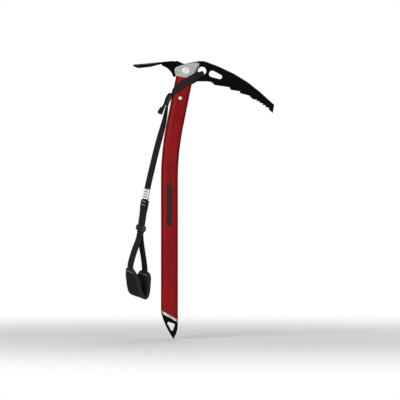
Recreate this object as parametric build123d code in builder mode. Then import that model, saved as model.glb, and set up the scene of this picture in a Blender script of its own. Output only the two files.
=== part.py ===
"""Ice axe with wrist leash.

Frame: the origin is the centre of the round eye in the head. +Z runs up along the straight
lower part of the shaft, +X points to the pick and Y is the thickness. Units are millimetres.
"""

import os
from math import cos, radians, sin, sqrt, tan

from build123d import *

os.makedirs("parts", exist_ok=True)

# ---------------------------------------------------------------- driving dimensions
# Shaft: an oval tube with a groove along each face, bent once near the top.
shaft_width = 30.6
shaft_thickness = 20.4
shaft_end_radius = 9.4
shaft_wall = 2.0
shaft_axis_x = -58.7
groove_width = 10.4
groove_depth = 0.7
bend_radius = 500.0
bend_angle = 11.4
bend_start_z = -195.6
shaft_top_below_rivet = 12.5
shaft_bottom_z = -438.9
bottom_cut_angle = 30.0

# Head plate: pick and adze are one forging.
plate_thickness = 4.0
eye_radius = 7.5
slot_big_center, slot_big_radius = (18.4, -5.2), 5.8
slot_small_center, slot_small_radius = (32.0, -10.6), 4.0
tooth_notch_depth = 2.6
adze_width = 54.0
adze_thickness = 2.6
adze_droop = 3.6
adze_tip_sagitta = 9.0

# Head insert and rivets.
insert_step = 0.2
insert_thickness = shaft_thickness - 2 * insert_step
insert_slot_clearance = 0.05
tang_clearance = 0.05
tang_length = 62.0
main_rivet_x, main_rivet_z = -29.25, 0.4
main_rivet_radius = 4.0
main_rivet_head_radius = 6.9
main_rivet_head_height = 1.5
recess_radius = 8.0
recess_depth = 0.6
shaft_rivet_distance = 50.6
shaft_rivet_radius = 1.8
shaft_rivet_head_radius = 3.1
shaft_rivet_head_height = 0.9
rivet_clearance = 0.03

# Spike end.
plug_clearance = 0.05
plug_length = 34.0
collar_height = 4.2
spike_thickness = 4.0
spike_tongue_length = 24.0
spike_tongue_width = 18.0
spike_pin_radius = 2.0
spike_tip_offset = 7.2
spike_length = 43.4
spike_shoulder_drop = 19.1
spike_hole_corner = 2.2

# Label in the groove.
label_width = 9.3
label_thickness = 0.25
label_below_bend = 9.1
label_length = 74.3

# Webbing.
webbing_width = 15.0
webbing_thickness = 1.6
head_loop_width = 13.0
head_loop_gap = 0.3
head_loop_fold_width = 7.6

# Ladder-lock buckle.
buckle_x, buckle_z = -58.2, -43.2
buckle_lean = 22.0
buckle_turn = 15.0
buckle_length = 20.0
buckle_top_radius = 2.0
buckle_middle_radius = 3.0
buckle_lower_radius = 1.5
buckle_corner = 4.5
buckle_rail_width = 2.4
buckle_bar_radius = 1.25
bar_clearance = 0.08
buckle_inner_width = 16.0
middle_bar_at = 9.0
lower_bar_at = 17.5

# Leash twist and tilt: the strap's width turns away from the shaft's width on the way down.
leash_twist = 45.0
leash_twist_share = 0.35
leash_tilt = 0.23

# Slider, wrist loop and pad.
neck_gap = 0.2
slider_width = 16.8
slider_height = 9.0
slider_thickness = 5.4
slider_clearance = 0.2
slider_corner = 0.5
loop_hinge_gap = 2.4
pad_thickness = 5.6
pad_skin = 1.0
binding_thickness = 6.4
binding_width = 2.6

# ---------------------------------------------------------------- frames and shared values
half_width = shaft_width / 2
half_thickness = shaft_thickness / 2
upper_axis = Vector(sin(radians(bend_angle)), 0, cos(radians(bend_angle)))
across_axis = Vector(cos(radians(bend_angle)), 0, -sin(radians(bend_angle)))
main_rivet_point = Vector(main_rivet_x, 0, main_rivet_z)
shaft_top_point = main_rivet_point - upper_axis * shaft_top_below_rivet
shaft_rivet_point = main_rivet_point - upper_axis * shaft_rivet_distance
upper_plane = Plane(origin=shaft_top_point, x_dir=across_axis, z_dir=upper_axis)
bottom_normal = Vector(sin(radians(bottom_cut_angle)), 0, cos(radians(bottom_cut_angle)))
bottom_point = Vector(shaft_axis_x, 0, shaft_bottom_z)
bottom_plane = Plane(origin=bottom_point, x_dir=(0, 1, 0), z_dir=bottom_normal)


def oval(grow):
    """Closed outline of the shaft's oval, made of two end arcs and two face arcs.

    The end arcs have their centres on the long axis; the face arcs touch them. grow moves
    the whole outline outwards by that distance.
    """
    end_center = half_width - shaft_end_radius
    face_radius = (end_center ** 2 + half_thickness ** 2 - shaft_end_radius ** 2) / (
        2 * (half_thickness - shaft_end_radius)
    )
    face_center = face_radius - half_thickness
    reach = sqrt(end_center ** 2 + face_center ** 2)
    touch_x = end_center / reach * (face_radius + grow)
    touch_y = face_center / reach * (face_radius + grow) - face_center
    with BuildSketch() as section:
        with BuildLine():
            ThreePointArc((-touch_x, touch_y), (0, half_thickness + grow), (touch_x, touch_y))
            ThreePointArc((touch_x, touch_y), (half_width + grow, 0), (touch_x, -touch_y))
            ThreePointArc((touch_x, -touch_y), (0, -half_thickness - grow), (-touch_x, -touch_y))
            ThreePointArc((-touch_x, -touch_y), (-half_width - grow, 0), (-touch_x, touch_y))
        make_face()
    return section.sketch


def save(builder, name):
    """Label a finished piece and write its STEP file."""
    builder.part.label = name
    export_step(builder.part, f"parts/{name}.step")
    solids = len(builder.part.solids())
    print(f"{name}: {solids} solids, {builder.part.volume:.1f} mm3")


# ---------------------------------------------------------------- shaft
bend_center_x = shaft_axis_x + bend_radius
bend_end_x = bend_center_x - bend_radius * cos(radians(bend_angle))
bend_end_z = bend_start_z + bend_radius * sin(radians(bend_angle))
bend_middle_x = bend_center_x - bend_radius * cos(radians(bend_angle / 2))
bend_middle_z = bend_start_z + bend_radius * sin(radians(bend_angle / 2))
shaft_run_out = 20.0
with BuildLine() as shaft_path:
    straight = Line(
        (shaft_axis_x, 0, shaft_bottom_z - shaft_run_out), (shaft_axis_x, 0, bend_start_z)
    )
    ThreePointArc(
        (shaft_axis_x, 0, bend_start_z), (bend_middle_x, 0, bend_middle_z), (bend_end_x, 0, bend_end_z)
    )
    Line((bend_end_x, 0, bend_end_z), shaft_top_point)

with BuildPart() as shaft_tube:
    with BuildSketch(Plane(origin=straight @ 0, x_dir=(1, 0, 0), z_dir=(0, 0, 1))):
        add(oval(0))
        with Locations((0, half_thickness), (0, -half_thickness)):
            Rectangle(groove_width, 2 * groove_depth, mode=Mode.SUBTRACT)
        add(oval(-shaft_wall), mode=Mode.SUBTRACT)
    sweep(path=shaft_path.line)
    split(bisect_by=bottom_plane, keep=Keep.TOP)
    with Locations(Plane(origin=shaft_rivet_point, x_dir=across_axis, z_dir=(0, -1, 0))):
        Hole(shaft_rivet_radius + rivet_clearance)

# ---------------------------------------------------------------- head plate
# The eye stands at the origin. The top edge runs from the adze over the insert to the pick's tip.
crest = (-44.6, 18.2)
plate_foot_gap = 0.05
pick_top = [
    (3.3, 17.8), (9.9, 15.6), (28.0, 8.8), (57.0, -4.7),
    (82.0, -20.0), (103.5, -37.0), (125.0, -56.5), (130.0, -61.0),
]
pick_tip = (127.3, -75.6)
tooth_tips = [
    (119.8, -69.1), (113.9, -64.6), (108.5, -60.8), (103.4, -57.2), (98.2, -54.3), (93.0, -51.2),
]
stairs = [
    (88.0, -48.0), (85.5, -44.5), (69.3, -40.3), (67.5, -36.4), (51.5, -34.0), (49.5, -29.3),
    (22.3, -25.2), (17.0, -20.0), (9.0, -18.7),
]


def foot(across):
    """Point on the plate's foot, just above the end of the shaft, at a distance from its axis."""
    spot = upper_plane.from_local_coords(Vector(across, 0, plate_foot_gap))
    return (spot.X, spot.Z)


def tooth_root(tip, next_tip):
    """Deepest point of the hooked notch between a tooth's tip and the next one."""
    along = Vector(next_tip[0] - tip[0], next_tip[1] - tip[1])
    inward = Vector(along.Y, -along.X).normalized()
    deep = Vector(*tip) + along * 0.12 + inward * tooth_notch_depth
    return (deep.X, deep.Y)


foot_lip = 0.7
foot_right_lip = 2.2
plate_points = [crest, (-32.0, 12.6), (-12.7, 16.4), (-6.4, 17.8)]
with BuildPart() as head_plate:
    with BuildSketch(Plane.XZ):
        with BuildLine():
            outline = plate_points + pick_top + [pick_tip]
            for i, tip in enumerate(tooth_tips):
                outline.append(tip)
                if i + 1 < len(tooth_tips):
                    outline.append(tooth_root(tip, tooth_tips[i + 1]))
            right_foot = foot(half_width + foot_right_lip)
            left_foot = foot(-half_width - foot_lip)
            outline += stairs
            outline += [(right_foot[0] + 1.0, -18.7), right_foot, left_foot]
            outline += [(-48.4, -10.8), (-52.0, -10.3)]
            Polyline(outline)
            ThreePointArc((-52.0, -10.3), (-58.6, 1.4), (-71.9, 9.5))
            Polyline((-71.9, 9.5), (-74.0, 14.0), crest)
        make_face()
        Circle(eye_radius, mode=Mode.SUBTRACT)
        with Locations((main_rivet_x, main_rivet_z)):
            Circle(main_rivet_radius + rivet_clearance, mode=Mode.SUBTRACT)
    extrude(amount=plate_thickness / 2, both=True)
    with BuildSketch(Plane.XZ):
        with Locations(slot_big_center):
            Circle(slot_big_radius)
        with Locations(slot_small_center):
            Circle(slot_small_radius)
        make_hull()
    extrude(amount=plate_thickness, both=True, mode=Mode.SUBTRACT)

adze_root = Vector(crest[0] - 7.0, 0, crest[1])
adze_tip = Vector(-123.9, 0, 11.5)
adze_run = adze_tip - adze_root
adze_along = adze_run.normalized()
adze_plane = Plane(origin=adze_root, x_dir=(0, 1, 0), z_dir=adze_along)
adze_half = adze_width / 2
droop_radius = (adze_half ** 2 + adze_droop ** 2) / (2 * adze_droop)
droop_sign = 1 if adze_plane.y_dir.Z > 0 else -1
with BuildPart() as adze_blade:
    with BuildSketch(adze_plane):
        with Locations((0, -droop_sign * droop_radius)):
            Circle(droop_radius)
            Circle(droop_radius - adze_thickness, mode=Mode.SUBTRACT)
        Rectangle(adze_width, 4 * adze_droop, mode=Mode.INTERSECT)
    extrude(amount=adze_run.length)
    with BuildSketch(Plane.XY.offset(-60)):
        with BuildLine():
            corner_x = adze_tip.X + adze_tip_sagitta
            left, right = (corner_x, -adze_half), (corner_x, adze_half)
            ThreePointArc(left, (adze_tip.X, 0), right)
            Polyline(right, (-92.0, adze_half - 1.5), (-77.0, 15.5), (-64.0, 5.0), (-50.0, 2.0))
            Line((-50.0, 2.0), (-50.0, -2.0))
            Polyline((-50.0, -2.0), (-64.0, -5.0), (-77.0, -15.5), (-92.0, 1.5 - adze_half), left)
        make_face()
    extrude(amount=120, mode=Mode.INTERSECT)

with BuildPart() as head:
    add(head_plate.part)
    add(adze_blade.part)

# ---------------------------------------------------------------- head insert
insert_half = insert_thickness / 2
shaft_corner_left = upper_plane.from_local_coords(Vector(-half_width, 0, 0))
shaft_corner_right = upper_plane.from_local_coords(Vector(half_width, 0, 0))
insert_outline = [
    (shaft_corner_left.X, shaft_corner_left.Z), (-48.5, -5.9), (-49.4, 3.2), (-46.7, 6.5),
    (-36.6, 10.3), (-26.6, 12.4), (-16.3, 14.2), (-5.9, 14.8), (-3.7, 11.5), (-5.9, 7.7),
    (-8.2, 4.5), (-10.0, 0.9), (shaft_corner_right.X, shaft_corner_right.Z),
]
with BuildPart() as head_insert:
    with BuildSketch(Plane.XZ):
        with BuildLine():
            Polyline(insert_outline, close=True)
        make_face()
    extrude(amount=insert_half, both=True)
    long_edges = head_insert.edges().filter_by(lambda e: abs(abs(e.center().Y) - insert_half) < 0.01)
    right_edges = long_edges.filter_by(lambda e: e.center().X > -13.5 and e.center().Z < 14.0)
    chamfer(right_edges, length=2.2)
    with BuildSketch(upper_plane):
        add(oval(-shaft_wall - tang_clearance))
    extrude(amount=-tang_length)
    with BuildSketch(Plane.XZ):
        with BuildLine():
            Polyline(
                foot(-2 * half_width), foot(2 * half_width), (40.0, 40.0), (-90.0, 40.0), close=True
            )
        make_face()
    slot_half = plate_thickness / 2 + insert_slot_clearance
    extrude(amount=slot_half, both=True, mode=Mode.SUBTRACT)
    rivet_plane = Plane(origin=main_rivet_point, x_dir=(1, 0, 0), z_dir=(0, -1, 0))
    with Locations(rivet_plane):
        Cylinder(main_rivet_radius + rivet_clearance, 2 * insert_thickness, mode=Mode.SUBTRACT)
    for side in (-1, 1):
        recess_plane = rivet_plane.offset(side * (insert_half - recess_depth / 2))
        with Locations(recess_plane):
            Cylinder(recess_radius, recess_depth, mode=Mode.SUBTRACT)
    with Locations(Plane(origin=shaft_rivet_point, x_dir=(1, 0, 0), z_dir=(0, -1, 0))):
        Cylinder(shaft_rivet_radius + rivet_clearance, 2 * insert_thickness, mode=Mode.SUBTRACT)

# ---------------------------------------------------------------- rivets


def rivet(point, shank_radius, half_grip, head_radius, head_height):
    """A through rivet along Y: a shank with a rounded head on each end."""
    plane = Plane(origin=point, x_dir=(1, 0, 0), z_dir=(0, -1, 0))
    with BuildPart() as piece:
        with Locations(plane):
            Cylinder(shank_radius, 2 * half_grip)
        for side in (-1, 1):
            with Locations(plane.offset(side * (half_grip + head_height / 2))):
                Cylinder(head_radius, head_height)
        ends = piece.edges().filter_by(GeomType.CIRCLE)
        rims = ends.filter_by(lambda e: abs(abs(e.center().Y) - half_grip - head_height) < 0.01)
        fillet(rims, head_height * 0.8)
    return piece


main_rivet = rivet(
    main_rivet_point, main_rivet_radius, insert_half - recess_depth,
    main_rivet_head_radius, main_rivet_head_height,
)
shaft_rivet = rivet(
    shaft_rivet_point, shaft_rivet_radius, half_thickness - groove_depth,
    shaft_rivet_head_radius, shaft_rivet_head_height,
)

# ---------------------------------------------------------------- shaft label
with BuildPart() as shaft_label:
    label_face = half_thickness - groove_depth
    label_plane = Plane.XZ.offset(label_face)
    with BuildSketch(label_plane):
        with Locations((shaft_axis_x, bend_start_z - label_below_bend - label_length / 2)):
            Rectangle(label_width, label_length)
    extrude(amount=label_thickness)

# ---------------------------------------------------------------- spike end
collar_plane = bottom_plane.offset(-collar_height)
with BuildPart() as spike_fitting:
    with BuildSketch(Plane.XY.offset(shaft_bottom_z - 2 * shaft_run_out)):
        with Locations((shaft_axis_x, 0)):
            add(oval(0))
    extrude(amount=4 * shaft_run_out)
    split(bisect_by=bottom_plane, keep=Keep.BOTTOM)
    split(bisect_by=collar_plane, keep=Keep.TOP)
    with BuildSketch(Plane.XY.offset(shaft_bottom_z + plug_length)):
        with Locations((shaft_axis_x, 0)):
            add(oval(-shaft_wall - plug_clearance))
    extrude(amount=-(plug_length + half_width * tan(radians(bottom_cut_angle)) - collar_height))
    split(bisect_by=collar_plane, keep=Keep.TOP)



def below_cut(right, down):
    """A point of the spike's outline, measured from the middle of the shaft's slanted foot."""
    return (shaft_axis_x + right, shaft_bottom_z - down)


spike_tip = below_cut(spike_tip_offset, spike_length)
with BuildPart() as spike_blade:
    with BuildSketch(Plane.XZ):
        with BuildLine():
            slant = tan(radians(bottom_cut_angle))
            rim_z = shaft_bottom_z - collar_height / cos(radians(bottom_cut_angle))
            left_x, right_x = shaft_axis_x - half_width + 0.4, shaft_axis_x + half_width - 0.2
            left_rim = (left_x, rim_z + (shaft_axis_x - left_x) * slant)
            right_rim = (right_x, rim_z - (right_x - shaft_axis_x) * slant)
            tongue_half = spike_tongue_width / 2
            tongue_left = (shaft_axis_x - tongue_half, rim_z + tongue_half * slant)
            tongue_right = (shaft_axis_x + tongue_half, rim_z - tongue_half * slant)
            tongue_top = shaft_bottom_z + spike_tongue_length
            shoulder = (right_x, shaft_bottom_z - spike_shoulder_drop)
            Polyline(
                left_rim, tongue_left, (tongue_left[0], tongue_top),
                (tongue_right[0], tongue_top), tongue_right, right_rim, shoulder,
            )
            ThreePointArc(shoulder, below_cut(13.1, 30.6), spike_tip)
            ThreePointArc(spike_tip, below_cut(-8.7, 14.5), left_rim)
        make_face()
    extrude(amount=spike_thickness / 2, both=True)
    with BuildSketch(Plane.XZ):
        with BuildLine():
            FilletPolyline(
                below_cut(-5.9, 11.1), below_cut(10.1, 16.5), below_cut(5.1, 32.1),
                radius=spike_hole_corner, close=True,
            )
        make_face()
    extrude(amount=spike_thickness, both=True, mode=Mode.SUBTRACT)
    pin_z = shaft_bottom_z + spike_tongue_length * 0.55
    pin_plane = Plane(origin=(shaft_axis_x, 0, pin_z), x_dir=(1, 0, 0), z_dir=(0, -1, 0))
    with Locations(pin_plane):
        Cylinder(spike_pin_radius + rivet_clearance, 40, mode=Mode.SUBTRACT)

inner_half_thickness = half_thickness - shaft_wall - plug_clearance
with BuildPart() as spike_pin:
    with Locations(pin_plane):
        Cylinder(spike_pin_radius, 2 * inner_half_thickness - 1.0)

with BuildPart(mode=Mode.PRIVATE) as spike_slot:
    with BuildSketch(Plane.XZ):
        with Locations((shaft_axis_x, (rim_z + tongue_top) / 2 - 10)):
            Rectangle(
                spike_tongue_width + 2 * insert_slot_clearance,
                tongue_top - rim_z + 20 + 2 * insert_slot_clearance,
            )
    extrude(amount=spike_thickness / 2 + insert_slot_clearance, both=True)

with BuildPart() as fitting:
    add(spike_fitting.part)
    add(spike_slot.part, mode=Mode.SUBTRACT)
    with Locations(pin_plane):
        Cylinder(spike_pin_radius + rivet_clearance, 40, mode=Mode.SUBTRACT)

save(head, "head_plate")
save(head_insert, "head_insert")
save(main_rivet, "main_rivet")
save(shaft_rivet, "shaft_rivet")
save(shaft_tube, "shaft_tube")
save(shaft_label, "shaft_label")
save(fitting, "spike_fitting")
save(spike_blade, "spike_blade")
save(spike_pin, "spike_pin")

# ---------------------------------------------------------------- buckle's plane
# x runs down the buckle, y points in to the shaft and z along its bars to the near side.
buckle_point = Vector(buckle_x, 0, buckle_z)
buckle_along = Vector(-sin(radians(buckle_lean)), 0, -cos(radians(buckle_lean)))
buckle_inward = Vector(cos(radians(buckle_lean)), 0, -sin(radians(buckle_lean)))
bar_dir = Vector(0, -1, 0) * cos(radians(buckle_turn)) + buckle_inward * sin(radians(buckle_turn))
buckle_plane = Plane(origin=buckle_point, x_dir=buckle_along, z_dir=bar_dir)

# ---------------------------------------------------------------- head loop of the leash
# The webbing comes through the eye on both faces, runs down across the insert and the shaft,
# wraps the shaft's rear edge and ends in a sewn sleeve round the buckle's top bar.
loop_start = Vector(1.5, 0, -3.0)
rear_edge_point = Vector(-54.2, 0, -40.6)
loop_along = (rear_edge_point - loop_start).normalized()
loop_across = Vector(-loop_along.Z, 0, loop_along.X)
loop_plane_side = Plane(origin=loop_start, x_dir=loop_along, z_dir=loop_across)
side_sign = 1 if loop_plane_side.y_dir.Y > 0 else -1
face_lift = half_thickness + head_loop_gap + webbing_thickness / 2
eye_bend_at = 0.9
slope_end_at = 16.0
flat_end_at = 40.0
shell_start_at = 38.0
full_width_at = 14.0
loop_length = (rear_edge_point - loop_start).length + 2 * webbing_thickness

with BuildPart() as head_loop:
    with BuildSketch(upper_plane):
        add(oval(head_loop_gap + webbing_thickness))
        add(oval(head_loop_gap), mode=Mode.SUBTRACT)
    extrude(amount=-90)
    with BuildSketch(Plane.XZ):
        strip_start = loop_start + loop_along * shell_start_at
        strip_end = loop_start + loop_along * (loop_length + 8)
        edge = loop_across * (head_loop_width / 2)
        corners = [strip_start + edge, strip_end + edge, strip_end - edge, strip_start - edge]
        with BuildLine():
            Polyline([(p.X, p.Z) for p in corners], close=True)
        make_face()
    extrude(amount=shaft_thickness, both=True, mode=Mode.INTERSECT)
    for side in (-1, 1):
        lift = side * side_sign * face_lift
        with BuildSketch(loop_plane_side):
            with BuildLine():
                Polyline((slope_end_at, lift), (flat_end_at, lift))
            trace(line_width=webbing_thickness)
        extrude(amount=head_loop_width / 2, both=True)
    with BuildSketch(loop_plane_side):
        with BuildLine():
            FilletPolyline(
                (slope_end_at + 4, face_lift), (slope_end_at, face_lift),
                (eye_bend_at, plate_thickness / 2 + 1.4), (eye_bend_at, -plate_thickness / 2 - 1.4),
                (slope_end_at, -face_lift), (slope_end_at + 4, -face_lift), radius=1.2,
            )
        trace(line_width=webbing_thickness)
    extrude(amount=head_loop_width / 2, both=True)
    with BuildSketch(Plane.XZ):
        fold_half = head_loop_fold_width / 2
        full_half = head_loop_width / 2
        widths = [(-3, fold_half), (3, fold_half), (full_width_at, full_half), (loop_length + 8, full_half)]
        side_a = [loop_start + loop_along * s + loop_across * w for s, w in widths]
        side_b = [loop_start + loop_along * s - loop_across * w for s, w in reversed(widths)]
        with BuildLine():
            Polyline([(p.X, p.Z) for p in side_a + side_b], close=True)
        make_face()
    extrude(amount=shaft_thickness, both=True, mode=Mode.INTERSECT)
    with BuildSketch(buckle_plane):
        Circle(buckle_bar_radius + bar_clearance + webbing_thickness)
        tab_end = buckle_plane.to_local_coords(rear_edge_point)
        with BuildLine():
            Polyline((0, 0), (tab_end.X, tab_end.Y))
        trace(line_width=2 * webbing_thickness)
        Circle(buckle_bar_radius + bar_clearance, mode=Mode.SUBTRACT)
    extrude(amount=head_loop_width / 2, both=True)
    with BuildSketch(upper_plane):
        add(oval(head_loop_gap))
    extrude(amount=-90, mode=Mode.SUBTRACT)

# ---------------------------------------------------------------- ladder-lock buckle
# A frame with round corners seen from its face, and lens-shaped seen from its side.
frame_top = -buckle_top_radius
frame_half = buckle_inner_width / 2 + buckle_rail_width
face_plane = Plane(origin=buckle_point, x_dir=buckle_along, z_dir=-buckle_plane.y_dir)
with BuildPart() as ladder_buckle:
    with BuildSketch(buckle_plane):
        Circle(buckle_top_radius)
        with Locations((middle_bar_at, 0)):
            Circle(buckle_middle_radius)
        with Locations((buckle_length - buckle_lower_radius, 0)):
            Circle(buckle_lower_radius)
        make_hull()
    extrude(amount=frame_half, both=True)
    with BuildSketch(face_plane):
        with Locations(((frame_top + buckle_length) / 2, 0)):
            RectangleRounded(buckle_length - frame_top, 2 * frame_half, buckle_corner)
            Rectangle(3 * buckle_length, buckle_inner_width, mode=Mode.SUBTRACT)
    extrude(amount=buckle_length, both=True, mode=Mode.INTERSECT)
    with BuildSketch(buckle_plane):
        Circle(buckle_bar_radius)
        with Locations((middle_bar_at, 0.3)):
            SlotOverall(4.4, 2.2)
        with Locations((lower_bar_at, 0)):
            RectangleRounded(2.8, 2.2, 0.8)
    extrude(amount=buckle_inner_width / 2 + 0.2, both=True)

# ---------------------------------------------------------------- strap tail in the buckle
turn_x = middle_bar_at - 3.6
tail_fold_radius = 1.5
tail_route = [
    (buckle_length + 0.4, 3.0), (lower_bar_at - 2.5, 2.5), (turn_x, 2.5), (turn_x, -2.0),
    (middle_bar_at + 3.0, -2.2), (lower_bar_at + 1.0, -2.2), (37.6, -3.8),
]
with BuildPart() as strap_tail:
    with BuildSketch(buckle_plane):
        with BuildLine():
            FilletPolyline(tail_route, radius=tail_fold_radius)
        trace(line_width=webbing_thickness)
        with BuildLine():
            Polyline((26.0, -4.37), (37.3, -5.31))
        trace(line_width=webbing_thickness)
    extrude(amount=webbing_width / 2, both=True)

# ---------------------------------------------------------------- main strap
# Route of the centre line in the XZ plane, from the buckle to the junction with the wrist loop.
strap_route = [
    (-63.2, -63.4), (-65.3, -76.5), (-69.2, -95.5), (-75.7, -118.5), (-82.3, -143.0),
    (-88.8, -170.5), (-95.0, -196.0), (-100.4, -221.0), (-104.3, -243.5),
]


def corner_radii(points):
    """Radius of each corner: 0.45 of its shorter run over the tangent of half the turn."""
    radii = []
    for before, corner, after in zip(points, points[1:], points[2:]):
        run_in = Vector(*corner) - Vector(*before)
        run_out = Vector(*after) - Vector(*corner)
        turn = run_in.get_angle(run_out)
        radii.append(0.45 * min(run_in.length, run_out.length) / tan(radians(turn) / 2))
    return radii


strap_radii = corner_radii(strap_route)
print("main strap radii:", [round(r, 1) for r in strap_radii])
with BuildLine() as strap_path:
    FilletPolyline([(x, 0, z) for x, z in strap_route], radius=strap_radii)
strap_wire = strap_path.wire()
strap_length = strap_wire.length
strap_sections = 13
with BuildPart() as main_strap:
    for i in range(strap_sections):
        share = i / (strap_sections - 1)
        along = strap_wire.tangent_at(share)
        turned = sin(radians(90) * min(1.0, share / leash_twist_share))
        turn = radians(buckle_turn + (leash_twist - buckle_turn) * turned)
        tilt = leash_tilt * turned
        width_dir = Vector(-sin(turn), cos(turn), tilt)
        width_dir = (width_dir - along * width_dir.dot(along)).normalized()
        section_plane = Plane(origin=strap_wire.position_at(share), x_dir=width_dir, z_dir=along)
        with BuildSketch(section_plane):
            Rectangle(webbing_width, webbing_thickness)
    loft(ruled=True)
strap_volume = strap_length * webbing_width * webbing_thickness
print(f"main strap: length {strap_length:.1f}, volume {main_strap.part.volume:.1f} of {strap_volume:.1f}")

# ---------------------------------------------------------------- wrist loop
# near_dir points along the webbing's width to the near side, away_dir is the way the legs part.
twist = radians(leash_twist)
near_dir = Vector(sin(twist), -cos(twist), -leash_tilt).normalized()
away_dir = Vector(cos(twist), sin(twist), 0)
flat_dir = Vector(sin(twist), -cos(twist), 0)
skew = leash_tilt
oblique = near_dir.length / sqrt(near_dir.X ** 2 + near_dir.Y ** 2)
face_ratio = 1 / cos(twist)
band_x = webbing_thickness * face_ratio
half_reach = webbing_width / 2

neck_top = Vector(-102.535, 0, -232.5)
neck_bottom = Vector(-111.2, 0, -291.9)
neck_dir = (neck_bottom - neck_top).normalized()
neck_shift = (webbing_thickness + neck_gap) / 2 * face_ratio
junction_shift = (webbing_thickness + neck_gap) * face_ratio
junction_end = Vector(-104.3, 0, -243.5) + neck_dir * 2.5
closing_end = junction_end + neck_dir * 7.0

with BuildPart() as loop_neck:
    for side in (-1, 1):
        with BuildSketch(Plane.XZ):
            with BuildLine():
                Polyline(
                    (neck_top.X + side * junction_shift, neck_top.Z),
                    (junction_end.X + side * junction_shift, junction_end.Z),
                    (closing_end.X + side * neck_shift, closing_end.Z),
                    (neck_bottom.X + side * neck_shift, neck_bottom.Z),
                )
            trace(line_width=band_x)
        extrude(amount=half_reach * oblique, dir=near_dir, both=True)

hinge_point = neck_bottom + neck_dir * loop_hinge_gap
leg_plane = Plane(origin=(hinge_point.X, 0, 0), x_dir=away_dir, z_dir=flat_dir)
leg_start = (webbing_thickness + neck_gap) / 2
near_leg_route = [
    (-leg_start, hinge_point.Z), (-leg_start - 0.3, -300.0), (-11.7, -318.0), (-20.6, -338.0),
    (-26.0, -354.4), (-21.4, -364.0),
]
far_leg_route = [
    (leg_start, hinge_point.Z), (leg_start + 0.3, -299.0), (4.2, -316.5), (9.0, -338.0),
    (12.6, -360.5), (10.3, -372.0),
]


def leg(route):
    """One leg of the wrist loop: a flat band along its route, as wide as the webbing."""
    with BuildPart() as piece:
        with BuildSketch(leg_plane):
            with BuildLine():
                FilletPolyline(route, radius=corner_radii(route))
            trace(line_width=webbing_thickness)
        extrude(amount=half_reach * oblique, dir=near_dir, both=True)
    return piece


near_leg = leg(near_leg_route)
far_leg = leg(far_leg_route)

# The pad is a padded band bent into a deep U, narrow at its two flaps and wide at the bottom.
pad_route = [
    (-25.7, -355.0), (-19.2, -368.5), (-15.4, -385.0), (-10.5, -400.5), (-1.8, -405.6),
    (4.6, -399.0), (7.6, -384.0), (9.6, -373.0), (12.7, -361.6),
]
pad_half_widths = [(-352.0, 8.6), (-359.0, 10.5), (-371.0, 16.3), (-390.0, 18.0), (-412.0, 19.0)]
outline_plane = Plane(origin=(hinge_point.X, 0, 0), x_dir=flat_dir, z_dir=-away_dir)


def pad_band(thickness):
    """Face of the pad's band in the leg plane, with the given thickness about its route."""
    with BuildSketch(leg_plane) as face:
        with BuildLine():
            FilletPolyline(pad_route, radius=corner_radii(pad_route))
        trace(line_width=thickness)
    return face.sketch


def pad_outline(inset):
    """Prism of the pad's outline seen along the way the legs part, moved in by inset."""
    near_side = [(w - inset, z - skew * (w - inset)) for z, w in pad_half_widths]
    far_side = [(inset - w, z + skew * (w - inset)) for z, w in reversed(pad_half_widths)]
    with BuildPart(mode=Mode.PRIVATE) as prism:
        with BuildSketch(outline_plane):
            with BuildLine():
                Polyline(near_side + far_side, close=True)
            make_face()
        extrude(amount=60, both=True)
    return prism.part


pad_reach = 24.0 * oblique


def pad_layer(sketch, inset):
    """A layer of the pad: its face carried across the band and trimmed to the outline."""
    with BuildPart() as piece:
        add(sketch)
        extrude(amount=pad_reach, dir=near_dir, both=True)
        add(pad_outline(inset), mode=Mode.INTERSECT)
    return piece


foam_thickness = pad_thickness - 2 * pad_skin
skins = (pad_band(pad_thickness) - pad_band(foam_thickness)).faces().sort_by(SortBy.AREA)
layer_inset = binding_width
pad_foam = pad_layer(pad_band(foam_thickness), layer_inset)
with BuildPart() as pad_core:
    add(pad_foam.part)
    add(near_leg.part, mode=Mode.SUBTRACT)
    add(far_leg.part, mode=Mode.SUBTRACT)
pad_lining = pad_layer(skins[0], layer_inset)
pad_cover = pad_layer(skins[-1], layer_inset)
pad_rim = pad_layer(pad_band(binding_thickness), 0)
with BuildPart() as pad_binding:
    add(pad_rim.part)
    add(near_leg.part, mode=Mode.SUBTRACT)
    add(far_leg.part, mode=Mode.SUBTRACT)
    add(pad_outline(layer_inset), mode=Mode.SUBTRACT)

# ---------------------------------------------------------------- slider
slider_middle = Vector(-110.0, 0, -282.8)
slider_band = 2 * (webbing_thickness + slider_clearance) + neck_gap
with BuildPart() as wrist_slider:
    with BuildSketch(Plane.XZ):
        top = slider_middle - neck_dir * (slider_height / 2)
        bottom = slider_middle + neck_dir * (slider_height / 2)
        with BuildLine():
            Polyline((top.X, top.Z), (bottom.X, bottom.Z))
        trace(line_width=slider_thickness * face_ratio)
    extrude(amount=slider_width / 2 * oblique, dir=near_dir, both=True)
    fillet(wrist_slider.edges().filter_by(lambda e: abs(e.length - slider_height) < 1.5), slider_corner)
    with BuildSketch(Plane.XZ):
        with BuildLine():
            far_top = slider_middle - neck_dir * slider_height
            far_bottom = slider_middle + neck_dir * slider_height
            Polyline((far_top.X, far_top.Z), (far_bottom.X, far_bottom.Z))
        trace(line_width=slider_band * face_ratio)
    extrude(
        amount=(half_reach + slider_clearance) * oblique, dir=near_dir, both=True,
        mode=Mode.SUBTRACT,
    )

# ---------------------------------------------------------------- label, stitching, bar tacks
label_lift = webbing_thickness / 2 * face_ratio + 0.55
with BuildPart() as strap_label:
    with BuildSketch(Plane.XZ):
        with BuildLine():
            Polyline((-98.7 - label_lift, -212.4), (-102.5 - label_lift, -230.6))
        trace(line_width=0.5)
    extrude(amount=(half_reach - 0.2) * oblique, dir=near_dir, both=True)

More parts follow.
